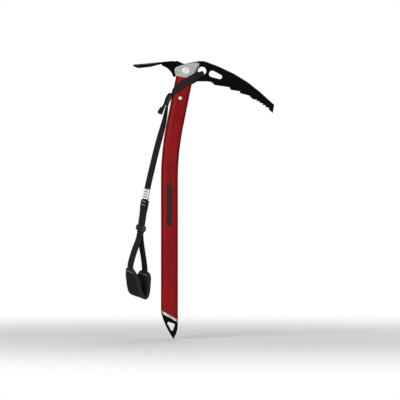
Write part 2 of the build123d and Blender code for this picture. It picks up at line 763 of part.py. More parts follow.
with BuildPart() as junction_stitching:
    for station in (2.0, 8.0):
        spot = neck_top + neck_dir * station
        for side in (-1, 1):
            lift = side * (junction_shift + band_x / 2 + 0.35)
            with BuildSketch(Plane.XZ):
                with BuildLine():
                    Polyline(
                        (spot.X + lift, spot.Z), (spot.X + lift + neck_dir.X, spot.Z + neck_dir.Z)
                    )
                trace(line_width=0.4)
            extrude(amount=(half_reach - 1.5) * oblique, dir=near_dir, both=True)

save(head_loop, "head_loop")
save(ladder_buckle, "ladder_buckle")
save(strap_tail, "strap_tail")
save(main_strap, "main_strap")
save(strap_label, "strap_label")
save(loop_neck, "loop_neck")
save(junction_stitching, "junction_stitching")
save(wrist_slider, "wrist_slider")
save(near_leg, "near_leg")
save(far_leg, "far_leg")
save(pad_cover, "pad_cover")
save(pad_core, "pad_foam")
save(pad_lining, "pad_lining")
save(pad_binding, "pad_binding")
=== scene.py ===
"""Ice axe with a wrist leash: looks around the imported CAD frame, in metres."""
import math

import bpy
import numpy as np
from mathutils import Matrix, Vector


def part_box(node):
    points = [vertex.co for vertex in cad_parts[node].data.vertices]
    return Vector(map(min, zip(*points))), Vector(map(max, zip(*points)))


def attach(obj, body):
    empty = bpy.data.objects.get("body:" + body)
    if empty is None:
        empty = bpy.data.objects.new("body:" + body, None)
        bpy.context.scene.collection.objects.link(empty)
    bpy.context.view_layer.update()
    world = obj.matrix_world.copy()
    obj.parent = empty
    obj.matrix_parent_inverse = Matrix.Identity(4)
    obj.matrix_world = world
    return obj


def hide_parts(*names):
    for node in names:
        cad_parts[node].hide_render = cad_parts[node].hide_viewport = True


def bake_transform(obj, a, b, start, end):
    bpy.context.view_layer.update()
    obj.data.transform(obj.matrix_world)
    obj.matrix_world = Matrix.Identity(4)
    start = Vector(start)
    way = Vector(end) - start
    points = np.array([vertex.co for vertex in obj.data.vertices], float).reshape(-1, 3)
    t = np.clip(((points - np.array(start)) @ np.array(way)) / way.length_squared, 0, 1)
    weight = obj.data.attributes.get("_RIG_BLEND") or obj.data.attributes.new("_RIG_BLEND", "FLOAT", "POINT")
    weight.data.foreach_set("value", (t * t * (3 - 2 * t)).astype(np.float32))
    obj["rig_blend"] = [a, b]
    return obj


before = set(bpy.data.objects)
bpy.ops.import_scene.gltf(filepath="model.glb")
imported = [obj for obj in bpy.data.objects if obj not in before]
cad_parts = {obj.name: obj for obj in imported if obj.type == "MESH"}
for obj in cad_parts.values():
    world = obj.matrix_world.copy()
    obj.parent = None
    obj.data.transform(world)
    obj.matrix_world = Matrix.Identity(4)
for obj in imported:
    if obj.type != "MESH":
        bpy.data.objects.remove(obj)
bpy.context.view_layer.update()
MM = 0.001

# ------------------------------------------------------------------ axe dimensions, metres
SHAFT_HALF_WIDTH, SHAFT_HALF_THICKNESS, SHAFT_END_RADIUS = 0.0153, 0.0102, 0.0094
SHAFT_X, BEND_RADIUS, BEND_ANGLE, BEND_START_Z = -0.0587, 0.5, math.radians(11.4), -0.1956
SHAFT_BOTTOM_Z, BOTTOM_CUT = -0.4389, math.radians(30)
GROOVE_HALF_WIDTH, GROOVE_DEPTH = 0.0052, 0.0007
END_CENTRE = SHAFT_HALF_WIDTH - SHAFT_END_RADIUS
FACE_RADIUS = (END_CENTRE ** 2 + SHAFT_HALF_THICKNESS ** 2 - SHAFT_END_RADIUS ** 2) / (
    2 * (SHAFT_HALF_THICKNESS - SHAFT_END_RADIUS))
FACE_CENTRE = FACE_RADIUS - SHAFT_HALF_THICKNESS
RIVET = np.array([-0.02925, 0, 0.0004])
TOP_BELOW_RIVET, SMALL_RIVET_BELOW = 0.0125, 0.0506
UP = np.array([math.sin(BEND_ANGLE), 0, math.cos(BEND_ANGLE)])
ACROSS = np.array([math.cos(BEND_ANGLE), 0, -math.sin(BEND_ANGLE)])
SHAFT_TOP = RIVET - UP * TOP_BELOW_RIVET

# ------------------------------------------------------------------ leash dimensions, metres
WEBBING_WIDTH, WEBBING_THICKNESS = 0.015, 0.0016
LEASH_TWIST, LEASH_TILT = math.radians(45), 0.23
NEAR = np.array([math.sin(LEASH_TWIST), -math.cos(LEASH_TWIST), -LEASH_TILT])
NEAR /= np.linalg.norm(NEAR)
AWAY = np.array([math.cos(LEASH_TWIST), math.sin(LEASH_TWIST), 0.0])
FLAT = np.array([math.sin(LEASH_TWIST), -math.cos(LEASH_TWIST), 0.0])
NECK_TOP, NECK_BOTTOM = np.array([-0.102535, 0, -0.2325]), np.array([-0.1112, 0, -0.2919])
NECK_DOWN = (NECK_BOTTOM - NECK_TOP) / np.linalg.norm(NECK_BOTTOM - NECK_TOP)
LOOP_HINGE_GAP = 0.0024
HINGE = NECK_BOTTOM + NECK_DOWN * LOOP_HINGE_GAP
LEASH_TWIST_SHARE = 0.35
STRAP_ROUTE = np.array([
    (-63.2, 0, -63.4), (-65.3, 0, -76.5), (-69.2, 0, -95.5), (-75.7, 0, -118.5), (-82.3, 0, -143.0),
    (-88.8, 0, -170.5), (-95.0, 0, -196.0), (-100.4, 0, -221.0), (-104.3, 0, -243.5),
]) * MM
BUCKLE = np.array([-0.0582, 0, -0.0432])
BUCKLE_LEAN, BUCKLE_TURN = math.radians(22), math.radians(15)
BUCKLE_DOWN = np.array([-math.sin(BUCKLE_LEAN), 0, -math.cos(BUCKLE_LEAN)])
SHAFTWARD = np.array([math.cos(BUCKLE_LEAN), 0, -math.sin(BUCKLE_LEAN)])
BAR_WAY = np.array([0, -1, 0]) * math.cos(BUCKLE_TURN) + SHAFTWARD * math.sin(BUCKLE_TURN)
BUCKLE_IN = np.cross(BAR_WAY, BUCKLE_DOWN)


# ------------------------------------------------------------------ shader maths
class Value:
    """A shader output that Python's + - * / work on; each adds one Math node."""

    def __init__(self, finish, socket):
        self.finish, self.socket = finish, socket

    def __add__(self, other):
        return self.finish.math("ADD", self, other)

    def __mul__(self, other):
        return self.finish.math("MULTIPLY", self, other)

    def __sub__(self, other):
        return self.finish.math("SUBTRACT", self, other)

    def __rsub__(self, other):
        return self.finish.math("SUBTRACT", other, self)

    def __truediv__(self, other):
        return self.finish.math("DIVIDE", self, other)

    __radd__, __rmul__ = __add__, __mul__


class Finish:
    """A material being made: its node tree, its surface shader and one method that adds nodes."""

    def __init__(self, name, color, roughness, metallic=0.0, **fixed):
        self.material = bpy.data.materials.new(name)
        self.material.use_nodes = True
        self.tree = self.material.node_tree
        self.shader = self.tree.nodes["Principled BSDF"]
        self.material.diffuse_color = color
        self.plug("Base Color", color)
        self.plug("Roughness", roughness)
        self.plug("Metallic", metallic)
        for socket, value in fixed.items():
            self.plug(socket.replace("_", " "), value)
        self.place = self.node("ShaderNodeTexCoord").outputs["Object"]
        self.uv = self.node("ShaderNodeTexCoord").outputs["UV"]

    def node(self, kind, settings=None, inputs=None):
        """A node of a type, its settings first, then its sockets' values or links."""
        made = self.tree.nodes.new(kind)
        for name, value in (settings or {}).items():
            setattr(made, name, value)
        for name, value in (inputs or {}).items():
            self.fill(made.inputs[name], value)
        return made

    def fill(self, socket, value):
        """Links a socket to an output, or sets its number or colour."""
        if isinstance(value, Value):
            value = value.socket
        if isinstance(value, bpy.types.NodeSocket):
            self.tree.links.new(value, socket)
        else:
            socket.default_value = value

    def plug(self, name, value):
        """Sets or links one input of the surface shader."""
        self.fill(self.shader.inputs[name], value)

    def math(self, operation, *values):
        """One Math node; numbers stay on its sockets."""
        made = self.node("ShaderNodeMath", {"operation": operation}, dict(enumerate(values)))
        return Value(self, made.outputs[0])

    def noise(self, scale, detail=3.0, roughness=0.55, stretch=None):
        """Noise from 0 to 1 at a scale in features per metre, stretched along an axis if asked."""
        place = self.place
        if stretch:
            place = self.node("ShaderNodeMapping", None, {"Vector": place, "Scale": stretch}).outputs[0]
        made = self.node("ShaderNodeTexNoise", None, {
            "Vector": place, "Scale": scale, "Detail": detail, "Roughness": roughness})
        return Value(self, made.outputs[0])

    def axes(self, place=None):
        """The three coordinates of the place as values."""
        made = self.node("ShaderNodeSeparateXYZ", None, {"Vector": place or self.place})
        return [Value(self, output) for output in made.outputs]

    def step(self, value, low, high):
        """A smooth mask: 0 below low, 1 above high."""
        made = self.node("ShaderNodeMapRange", {"interpolation_type": "SMOOTHSTEP"}, {
            "Value": value, "From Min": low, "From Max": high})
        return Value(self, made.outputs[0])

    def mix(self, factor, first, second):
        """A colour between two colours."""
        made = self.node("ShaderNodeMix", {"data_type": "RGBA"}, {
            "Factor": factor, 6: first, 7: second})
        return made.outputs[2]

    def bump(self, height, distance, strength=1.0):
        """Sends a height, 0 to 1, to the shader's normal as a bump of that distance in metres."""
        made = self.node("ShaderNodeBump", None, {
            "Height": height, "Distance": distance, "Strength": strength})
        self.plug("Normal", made.outputs[0])


def placed(name, data):
    """An object of the data, in the scene."""
    made = bpy.data.objects.new(name, data)
    bpy.context.scene.collection.objects.link(made)
    return made


def color(red, green, blue):
    """Linear colour with alpha from display values, 0 to 255."""
    share = np.array([red, green, blue]) / 255
    linear = np.where(share <= 0.04045, share / 12.92, ((share + 0.055) / 1.055) ** 2.4)
    return (*linear.tolist(), 1.0)


def red_anodised():
    """Red dyed aluminium: drawn streaks, cloudy dye, rubs near the spike, a row of etched ticks."""
    finish = Finish("red_anodised", color(132, 18, 21), 0.5, 0.3, Specular_IOR_Level=0.12)
    streaks = finish.noise(900, 2, stretch=(1.0, 1.0, 0.02))
    clouds = finish.noise(26, 3)
    tone = finish.step(clouds * 0.6 + streaks * 0.4, 0.3, 0.7)
    base = finish.mix(tone, color(122, 14, 17), color(140, 19, 21))
    x, y, z = finish.axes()
    low = 1 - finish.step(z, SHAFT_BOTTOM_Z - 0.004, SHAFT_BOTTOM_Z + 0.07)
    rubs = finish.step(finish.noise(210, 4, 0.7, stretch=(1.0, 1.0, 0.16)), 0.66, 0.74) * low
    rubbed = finish.mix(rubs * 0.45, base, color(196, 120, 116))
    column = 1 - finish.step(finish.math("ABSOLUTE", x - SHAFT_X), 0.0034, 0.0037)
    front = 1 - finish.step(y, -0.0096, -0.0094)
    stretch = finish.step(z, -0.2042, -0.2037) * (1 - finish.step(z, -0.1712, -0.1707))
    ticks = finish.step(finish.math("SINE", z * (2 * math.pi / 0.0033)), -0.1, 0.3)
    etched = column * front * stretch * ticks
    finish.plug("Base Color", finish.mix(etched * 0.6, rubbed, color(48, 8, 10)))
    finish.plug("Roughness", 0.46 + streaks * 0.1 + clouds * 0.06 + rubs * 0.1)
    finish.bump(streaks * 0.6 + finish.noise(2600, 2) * 0.4, 0.00001, 0.25)
    return finish.material


def forged_black():
    """Black coated forging: fine pitted skin, softly uneven gloss, steel showing at worn tips."""
    finish = Finish("forged_black", color(4, 4, 4), 0.5, 0.0, Specular_IOR_Level=0.05)
    pits = finish.noise(1500, 4, 0.6)
    clouds = finish.noise(70, 3)
    x, z = finish.axes()[::2]
    pick_end = finish.step(x, 0.112, 0.131)
    adze_end = 1 - finish.step(x, -0.1235, -0.1185)
    spike_end = 1 - finish.step(z, -0.4815, -0.472)
    worn = finish.math("MAXIMUM", finish.math("MAXIMUM", pick_end, adze_end), spike_end)
    worn = worn * finish.step(finish.noise(420, 5, 0.7), 0.56, 0.66)
    finish.plug("Base Color", finish.mix(worn * 0.4, color(4, 4, 4), color(70, 70, 72)))
    finish.plug("Metallic", worn * 0.6)
    finish.plug("Roughness", 0.5 + clouds * 0.14 - worn * 0.08)
    finish.bump(pits * 0.7 + clouds * 0.3, 0.00005, 0.6)
    return finish.material


def bare_aluminium():
    """Tumbled aluminium: satin grain, faint cross scratches, slightly duller in patches."""
    finish = Finish("bare_aluminium", color(196, 198, 196), 0.42, 0.8)
    grain = finish.noise(1900, 3)
    clouds = finish.noise(90, 4)
    scratches = finish.step(finish.noise(700, 5, 0.75, stretch=(1.0, 0.12, 0.5)), 0.62, 0.7)
    finish.plug("Base Color", finish.mix(clouds, color(172, 175, 173), color(208, 210, 207)))
    finish.plug("Roughness", 0.36 + clouds * 0.1 + scratches * 0.08)
    finish.bump(grain * 0.5 + scratches * 0.5, 0.000004, 0.12)
    return finish.material


def bright_rivet():
    """Bright steel rivet: a pale face, slightly uneven, with a fine grain."""
    finish = Finish("bright_rivet", color(226, 232, 230), 0.4, 0.3)
    grain = finish.noise(2400, 3)
    finish.plug("Base Color", finish.mix(finish.noise(260), color(214, 220, 219), color(240, 244, 243)))
    finish.plug("Roughness", 0.36 + grain * 0.1)
    finish.bump(grain, 0.000006, 0.1)
    return finish.material


def webbing_weave(finish):
    """Height of woven tape from 0 to 1: lengthwise ribs, each crossed by slanted floats.

    The map holds the place on the tape in metres: across first, then along. Neighbouring ribs
    have their floats half a period apart.
    """
    across, along = finish.axes(finish.uv)[:2]
    rib = finish.math("ABSOLUTE", finish.math("SINE", across * (math.pi / 0.00125)))
    row = finish.math("FLOOR", across / 0.00125)
    float_phase = along * (2 * math.pi / 0.0011) + row * math.pi + across * (math.pi / 0.00125)
    floats = finish.math("SINE", float_phase) * 0.5 + 0.5
    return rib * 0.6 + rib * floats * 0.4


def black_webbing():
    """Black woven tape: ribs and floats in the bump, darker between them as painted shade, with random fuzz
    in the tone.
    """
    finish = Finish("black_webbing", color(30, 29, 29), 0.72, 0.0, Specular_IOR_Level=0.2)
    weave = webbing_weave(finish)
    fuzz = finish.noise(1300, 3)
    # Colour darker where the weave is low, between the ribs: painted shade; the fuzz adds random tone.
    tone = finish.step(weave * 0.7 + fuzz * 0.3, 0.15, 0.85)
    finish.plug("Base Color", finish.mix(tone, color(13, 13, 13), color(36, 35, 35)))
    finish.plug("Roughness", 0.66 + fuzz * 0.16)
    finish.bump(weave, 0.00025, 0.8)
    return finish.material


def pad_cloth(name, dark, light, period, depth):
    """Plain-weave cloth on the pad's own map, with its thread period and depth in metres. Its colour is
    darker in the weave's hollows as painted shade, and varies in random clouds.
    """
    finish = Finish(name, light, 0.78, 0.0, Specular_IOR_Level=0.2)
    across, along = finish.axes(finish.uv)[:2]
    warp = finish.math("SINE", across * (2 * math.pi / period))
    weft = finish.math("SINE", along * (2 * math.pi / period))
    weave = warp * weft * 0.5 + 0.5
    clouds = finish.noise(120, 4)
    # Colour follows the weave's height, darker in its hollows: painted shade, mixed with random clouds of
    # tone.
    finish.plug("Base Color", finish.mix(finish.step(weave * 0.6 + clouds * 0.4, 0.2, 0.8), dark, light))
    finish.plug("Roughness", 0.7 + clouds * 0.18)
    finish.bump(weave * 0.8 + clouds * 0.2, depth, 0.8)
    return finish.material


def moulded_plastic():
    """Black moulded plastic with a fine spark-eroded texture."""
    finish = Finish("moulded_plastic", color(26, 26, 27), 0.5, 0.0, Specular_IOR_Level=0.4)
    grain = finish.noise(2800, 2)
    finish.plug("Base Color", finish.mix(finish.noise(150), color(21, 21, 22), color(33, 33, 34)))
    finish.plug("Roughness", 0.44 + grain * 0.16)
    finish.bump(grain, 0.00004, 0.6)
    return finish.material


def woven_label():
    """White woven label: satin threads across, lighter on their crowns as a painted highlight, plain dark
    bars down its middle.
    """
    finish = Finish("woven_label", color(214, 216, 218), 0.6, 0.0)
    across, along = finish.axes(finish.uv)[:2]
    threads = finish.math("SINE", along * (2 * math.pi / 0.0005)) * 0.5 + 0.5
    inner = finish.step(finish.math("ABSOLUTE", across), 0.0045, 0.0049)
    bars = finish.step(finish.math("SINE", along * (2 * math.pi / 0.0046)), 0.3, 0.6) * (1 - inner)
    # The threads are lighter where the bump is high, on their crowns: a painted highlight.
    plain = finish.mix(threads, color(226, 228, 230), color(248, 249, 250))
    finish.plug("Base Color", finish.mix(bars * 0.9, plain, color(40, 41, 44)))
    finish.bump(threads, 0.00008, 0.7)
    return finish.material


def sewing_thread():
    """Light grey twisted thread, darker in the twist's hollows as painted shade."""
    finish = Finish("sewing_thread", color(150, 150, 150), 0.7, 0.0)
    twist = finish.noise(2600, 2, stretch=(1.0, 1.0, 0.4))
    # Colour follows the twist's bump height, darker in its hollows: painted shade.
    finish.plug("Base Color", finish.mix(twist, color(120, 120, 120), color(176, 176, 176)))
    finish.bump(twist, 0.00008, 0.7)
    return finish.material


def label_film():
    """Black film: a row of plain dull red dashes down the middle, a hair of gloss."""
    finish = Finish("label_film", color(6, 5, 5), 0.4, 0.0, Specular_IOR_Level=0.4)
    x, z = finish.axes()[::2]
    column = 1 - finish.step(finish.math("ABSOLUTE", x - SHAFT_X), 0.0006, 0.0009)
    dashes = finish.step(finish.math("SINE", z * (2 * math.pi / 0.0046)), 0.1, 0.35)
    finish.plug("Base Color", finish.mix(column * dashes * 0.35, color(7, 6, 6), color(120, 40, 42)))
    finish.plug("Roughness", 0.36 + finish.noise(500) * 0.12)
    finish.bump(finish.noise(900), 0.00002, 0.5)
    return finish.material


FINISHES = {
    "forged": forged_black(), "aluminium": bare_aluminium(), "rivet": bright_rivet(),
    "red": red_anodised(), "label": label_film(), "webbing": black_webbing(),
    "plastic": moulded_plastic(), "woven": woven_label(), "thread": sewing_thread(),
    "cover": pad_cloth("pad_cover_cloth", color(19, 19, 19), color(38, 38, 38), 0.0009, 0.00015),
    "lining": pad_cloth("pad_lining_cloth", color(12, 12, 12), color(25, 25, 25), 0.0006, 0.0001),
    "binding": pad_cloth("binding_tape", color(26, 26, 26), color(46, 46, 46), 0.0008, 0.0002),
}


# ------------------------------------------------------------------ mesh tools
def surface(name, points, finish, body, close_around=False, uv=None):
    """A grid of points, rows by columns, as a smooth mesh of quads with a map in metres."""
    rows, columns = points.shape[:2]
    index = np.arange(rows * columns).reshape(rows, columns)
    if close_around:
        index = np.concatenate([index, index[:, :1]], axis=1)
    quads = np.stack([index[:-1, :-1], index[:-1, 1:], index[1:, 1:], index[1:, :-1]], -1)
    quads = quads.reshape(-1, 4)
    mesh = bpy.data.meshes.new(name)
    mesh.from_pydata(points.reshape(-1, 3).tolist(), [], quads.tolist())
    if uv is not None:
        if close_around:
            wrapped = 2 * uv[:, -1:] - uv[:, -2:-1]
            uv = np.concatenate([uv, wrapped], axis=1)
        corner = np.stack([uv[:-1, :-1], uv[:-1, 1:], uv[1:, 1:], uv[1:, :-1]], 2)
        mesh.uv_layers.new(name="map").data.foreach_set("uv", corner.reshape(-1))
    mesh.shade_smooth()
    piece = placed(name, mesh)
    mesh.materials.append(FINISHES[finish])
    if body:
        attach(piece, body)
    return piece


def modifier(piece, kind, **settings):
    """Adds a modifier with its settings."""
    made = piece.modifiers.new(kind.title(), kind)
    for name, value in settings.items():
        setattr(made, name, value)
    return made


def smooth_route(points):
    """Points read from the NURBS line whose control points are the route."""
    curve = bpy.data.curves.new("route", "CURVE")
    curve.dimensions = "3D"
    curve.resolution_u = 12
    spline = curve.splines.new("NURBS")
    spline.points.add(len(points) - 1)
    spline.points.foreach_set("co", np.c_[points, np.ones(len(points))].ravel())
    spline.order_u = 3
    spline.use_endpoint_u = True
    holder = bpy.data.objects.new("route", curve)
    mesh = bpy.data.meshes.new_from_object(holder)
    line = np.zeros(len(mesh.vertices) * 3)
    mesh.vertices.foreach_get("co", line)
    bpy.data.objects.remove(holder)
    bpy.data.meshes.remove(mesh)
    line = line.reshape(-1, 3)
    from_first, from_last = (np.linalg.norm(line[end] - points[0]) for end in (0, -1))
    return line if from_first < from_last else line[::-1]


def unit(vectors):
    """Each vector at length one."""
    return vectors / np.linalg.norm(vectors, axis=-1, keepdims=True)


def lengths(line):
    """Distance along a line of points, from its start."""
    return np.r_[0, np.cumsum(np.linalg.norm(np.diff(line, axis=0), axis=1))]


def refined(node, name, finish, body, bevel, segments=3):
    """A copy of a CAD node with its corners merged and its edges rounded, standing for it."""
    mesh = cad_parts[node].data.copy()
    mesh.name = name
    mesh.materials.clear()
    mesh.materials.append(FINISHES[finish])
    piece = placed(name, mesh)
    for layer in list(mesh.attributes):
        if layer.name == "custom_normal":
            mesh.attributes.remove(layer)
    modifier(piece, "WELD", merge_threshold=1e-6)
    modifier(piece, "DECIMATE", decimate_type="DISSOLVE", angle_limit=math.radians(0.4))
    modifier(piece, "BEVEL", width=bevel, segments=segments, limit_method="ANGLE",
             angle_limit=math.radians(32), harden_normals=False, use_clamp_overlap=True)
    applied = bpy.data.meshes.new_from_object(piece.evaluated_get(bpy.context.evaluated_depsgraph_get()))
    piece.modifiers.clear()
    piece.data = applied
    applied.shade_smooth()
    modifier(piece, "WEIGHTED_NORMAL", keep_sharp=True, weight=80)
    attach(piece, body)
    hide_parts(node)
    return piece


def capped(ring, centre):
    """Rings of a closed tube with a small ring added at each end, shrunk towards the end's centre."""
    shrunk = 0.02
    return np.concatenate([centre[:1] + (ring[:1] - centre[:1]) * shrunk, ring,
                           centre[-1:] + (ring[-1:] - centre[-1:]) * shrunk])


ACROSS_SHARES = np.sin(np.linspace(-math.pi / 2, math.pi / 2, 17))


def tape(name, middle, finish, body, thickness=WEBBING_THICKNESS):
    """A woven tape with soft thick selvedges about its middle surface.

    The middle surface is a grid: rows along, columns across at ACROSS_SHARES from edge to
    edge. Each point moves out and in along the surface's normal by half the thickness, times
    a section that is round at both edges and a little thicker just inside them.
    """
    along_way = np.gradient(middle, axis=0)
    across_way = np.gradient(middle, axis=1)
    normal = unit(np.cross(across_way, along_way))
    share = np.abs(ACROSS_SHARES)
    selvedge = 0.88 + 0.16 * np.exp(-((share - 0.88) / 0.07) ** 2)
    section = np.sqrt(np.clip(1 - share ** 24, 0, 1)) * selvedge
    half = (section * thickness / 2)[None, :, None]
    over, under = middle + normal * half, middle - normal * half
    ring = np.concatenate([over, under[:, -2:0:-1]], axis=1)
    points = capped(ring, middle[:, 8:9])
    width = np.linalg.norm(middle[:, -1] - middle[:, 0], axis=-1).max()
    across = np.r_[ACROSS_SHARES, ACROSS_SHARES[-2:0:-1]] * width / 2
    line = lengths(middle[:, 8])
    uv = np.stack(np.broadcast_arrays(across[None], np.r_[0, line, line[-1]][:, None]), -1)
    return surface(name, points, finish, body, close_around=True, uv=uv)


def middle_surface(line, way, width):
    """A tape's middle surface: the line, plus the width direction times the share of half the width."""
    half = np.broadcast_to(np.asarray(width) / 2, len(line))
    return line[:, None] + np.broadcast_to(way, line.shape)[:, None] * (
        half[:, None] * ACROSS_SHARES[None])[..., None]


def lathe(name, profile, centre, finish, body):
    """A profile of (y, radius) points turned about the Y axis through the centre."""
    turn = np.linspace(0, 2 * math.pi, 72, endpoint=False)
    y, radius = np.array(profile).T
    points = np.stack(np.broadcast_arrays(
        radius[:, None] * np.cos(turn), y[:, None], -radius[:, None] * np.sin(turn)), -1) + centre
    return surface(name, points, finish, body, close_around=True)


def stitches(name, places, ways, ups, body, length=0.0022, radius=0.00032):
    """A seam of single stitches: each is a short thread, bowed up in its middle.

    A stitch is a tube of 5 rings by 6 points; ring i sits at share t of the length and rises
    by a sine of t, with the thread's radius falling to a third at both ends.
    """
    share = np.linspace(0, 1, 5)
    turn = np.linspace(0, 2 * math.pi, 6, endpoint=False)
    side = unit(np.cross(ways, ups))
    rise = np.sin(share * math.pi) * radius * 0.9
    thick = radius * (0.35 + 0.65 * np.sin(share * math.pi) ** 0.5)
    centre = (places[:, None] + ways[:, None] * ((share - 0.5) * length)[None, :, None]
              + ups[:, None] * rise[None, :, None])
    ring = (side[:, None, None] * np.cos(turn)[None, None, :, None]
            + ups[:, None, None] * np.sin(turn)[None, None, :, None]) * thick[None, :, None, None]
    points = centre[:, :, None] + ring
    count = len(places)
    index = np.arange(count * 30).reshape(count, 5, 6)
    around = np.roll(index, -1, axis=2)
    quads = np.stack([index[:, :-1], around[:, :-1], around[:, 1:], index[:, 1:]], -1).reshape(-1, 4)
    ends = np.concatenate([index[:, 0], index[:, -1, ::-1]])
    mesh = bpy.data.meshes.new(name)
    mesh.from_pydata(points.reshape(-1, 3).tolist(), [], quads[:, ::-1].tolist() + ends.tolist())
    mesh.shade_smooth()
    mesh.materials.append(FINISHES["thread"])
    piece = placed(name, mesh)
    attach(piece, body)
    return piece


# ------------------------------------------------------------------ shaft
def oval(normal_angle, grow):
    """A point of the shaft's oval for the angle of its normal: end arcs and face arcs that touch.

    Near the long axis the point is the end centre plus the end radius along the normal;
    elsewhere it is the face centre plus the face radius along the normal.
    """
    touch = math.atan2(FACE_CENTRE, END_CENTRE)
    cosine, sine = np.cos(normal_angle), np.sin(normal_angle)
    on_end = np.abs(cosine) > math.cos(touch)
    across = np.where(on_end, np.sign(cosine) * END_CENTRE + (SHAFT_END_RADIUS + grow) * cosine,
                      (FACE_RADIUS + grow) * cosine)
    depth = np.where(on_end, (SHAFT_END_RADIUS + grow) * sine,
                     -np.sign(sine) * FACE_CENTRE + (FACE_RADIUS + grow) * sine)
    return across, depth


def shaft_line(height):
    """The axis at a height along it from the bend's start: straight, an arc, straight again.

    Gives the axis point and the direction across the shaft's width.
    """
    angle = np.clip(height / BEND_RADIUS, 0, BEND_ANGLE)
    past = np.maximum(height - BEND_RADIUS * BEND_ANGLE, 0)
    below = np.minimum(height, 0)
    x = SHAFT_X + BEND_RADIUS * (1 - np.cos(angle)) + past * math.sin(BEND_ANGLE)
    z = BEND_START_Z + below + BEND_RADIUS * np.sin(angle) + past * math.cos(BEND_ANGLE)
    return np.stack([x, 0 * x, z], -1), np.stack([np.cos(angle), 0 * x, -np.sin(angle)], -1)


def make_shaft():
    """The tube's wall as one closed skin: outside, over the rim, inside, round the foot.

    Each row is an oval grown by the row's amount. On both faces the outside is pressed flat to
    the groove's floor within the groove's width. The foot is cut on a slant.
    """
    straight_top = math.dist(SHAFT_TOP, (
        SHAFT_X + BEND_RADIUS * (1 - math.cos(BEND_ANGLE)), 0,
        BEND_START_Z + BEND_RADIUS * math.sin(BEND_ANGLE)))
    top = BEND_RADIUS * BEND_ANGLE + straight_top
    foot = SHAFT_BOTTOM_Z - BEND_START_Z
    wall, ease = 0.002, 0.0005
    body = np.r_[np.linspace(foot + ease, -0.002, 40), np.linspace(0, BEND_RADIUS * BEND_ANGLE, 40),
                 np.linspace(BEND_RADIUS * BEND_ANGLE + 0.004, top - ease, 24)]
    corner = ease * (1 - np.cos(np.linspace(0.3, math.pi / 2, 4)))
    rise = ease * np.sin(np.linspace(0.3, math.pi / 2, 4))
    heights = np.r_[body, top - ease + rise, top - ease + rise[::-1], body[::-1],
                    foot + ease - rise, foot + ease - rise[::-1]]
    grows = np.r_[np.zeros(len(body)), -corner, -wall + corner[::-1], np.full(len(body), -wall),
                  -wall + corner, -corner[::-1]]
    outside = grows > -wall / 2
    face = np.r_[8.2, 7.4, 6.6, 6.0, 5.6, 5.4, 5.3, 5.22, 5.14, 5.05, 4.9, 4.5, 3.6, 2.4, 1.2] * MM
    quarter = np.r_[np.linspace(0, 1.28, 18), np.arccos(face / FACE_RADIUS)]
    turn = np.r_[quarter, math.pi / 2, math.pi - quarter[::-1], math.pi + quarter[1:],
                 1.5 * math.pi, 2 * math.pi - quarter[:0:-1]]
    across, depth = oval(turn[None], grows[:, None])
    edge = np.clip((GROOVE_HALF_WIDTH + 0.0001 - np.abs(across)) / 0.0002, 0, 1)
    floor = np.minimum(np.abs(depth), SHAFT_HALF_THICKNESS - GROOVE_DEPTH)
    pressed = np.sign(depth) * (np.abs(depth) * (1 - edge) + floor * edge)
    depth = np.where(outside[:, None], pressed, depth)
    slant = -across * math.tan(BOTTOM_CUT)
    share = np.clip(1 - (heights - foot) / -foot, 0, 1)[:, None]
    axis, width_way = shaft_line(heights)
    points = axis[:, None] + width_way[:, None] * across[..., None]
    points[..., 1] = depth
    points[..., 2] += slant * share
    points = np.concatenate([points, points[:1]])
    shaft = surface("shaft", points, "red", "axe", close_around=True)
    modifier(shaft, "WELD", merge_threshold=1e-6)
    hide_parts("shaft_tube")


make_shaft()

# ------------------------------------------------------------------ head, insert, rivets, spike
for node, name, finish, bevel, slot in (
    ("head_plate", "head", "forged", 0.0006, "forged_steel"),
    ("head_insert", "insert", "aluminium", 0.0006, "bare_aluminium"),
    ("spike_fitting", "collar", "aluminium", 0.0005, "bare_aluminium"),
    ("spike_blade", "spike", "forged", 0.0005, "forged_steel"),
    ("shaft_label", "label_strip", "label", 0.00008, "label_black"),
):
    refined(node, name, finish, "axe", bevel)

# Rivet profiles: distance from the axe's middle plane and radius, in millimetres.
RIVET_HEAD = [(9.0, 3.9), (9.4, 6.9), (10.35, 6.9), (10.6, 6.82), (10.8, 6.55), (10.9, 6.1),
              (10.9, 5.3), (10.82, 5.1), (10.62, 4.95), (10.58, 4.75), (10.62, 4.55),
              (10.86, 4.4), (10.9, 4.2), (10.9, 0.02)]
SMALL_HEAD = [(8.9, 1.7), (9.5, 3.1), (9.75, 3.1), (10.0, 2.95), (10.2, 2.6), (10.33, 2.05),
              (10.39, 1.3), (10.4, 0.02)]
for name, node, head, centre in (
    ("main_rivet_turned", "main_rivet", RIVET_HEAD, RIVET),
    ("shaft_rivet_turned", "shaft_rivet", SMALL_HEAD, RIVET - UP * SMALL_RIVET_BELOW),
):
    profile = [(-y, r) for y, r in reversed(head)] + head
    rivet = lathe(name, np.array(profile) * MM, centre, "rivet", "axe")
    modifier(rivet, "WEIGHTED_NORMAL", keep_sharp=True)
    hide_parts(node)
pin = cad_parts["spike_pin"]
pin.data.materials.clear()
pin.data.materials.append(FINISHES["rivet"])

# ------------------------------------------------------------------ head loop
# Flat places (across, up) on the unrolled shaft, from the fold in the eye to the rear edge.
FRONT_STRAND = [(30.8, 15.2), (26.4, 11.2), (19.1, 4.9), (10.6, -2.1), (2.7, -9.7), (-4.5, -17.0),
                (-12.5, -26.0), (-22.46, -35.0)]
BACK_STRAND = [(30.8, 15.2), (25.0, 8.6), (17.0, 0.4), (8.6, -6.0), (1.2, -12.6), (-5.0, -18.6),
               (-12.5, -26.6), (-22.46, -35.0)]
LOOP_LIFT = SHAFT_HALF_THICKNESS + 0.0003 + WEBBING_THICKNESS / 2
FOLD_WIDTH, SLEEVE_WIDTH, FOLD_RADIUS, REAR_EDGE_ACROSS = 0.0076, 0.013, 0.0011, -0.02246
LOOP_FACE_RADIUS, LOOP_FACE_CENTRE, LOOP_END_CENTRE = 0.03156, 0.02136, 0.0059


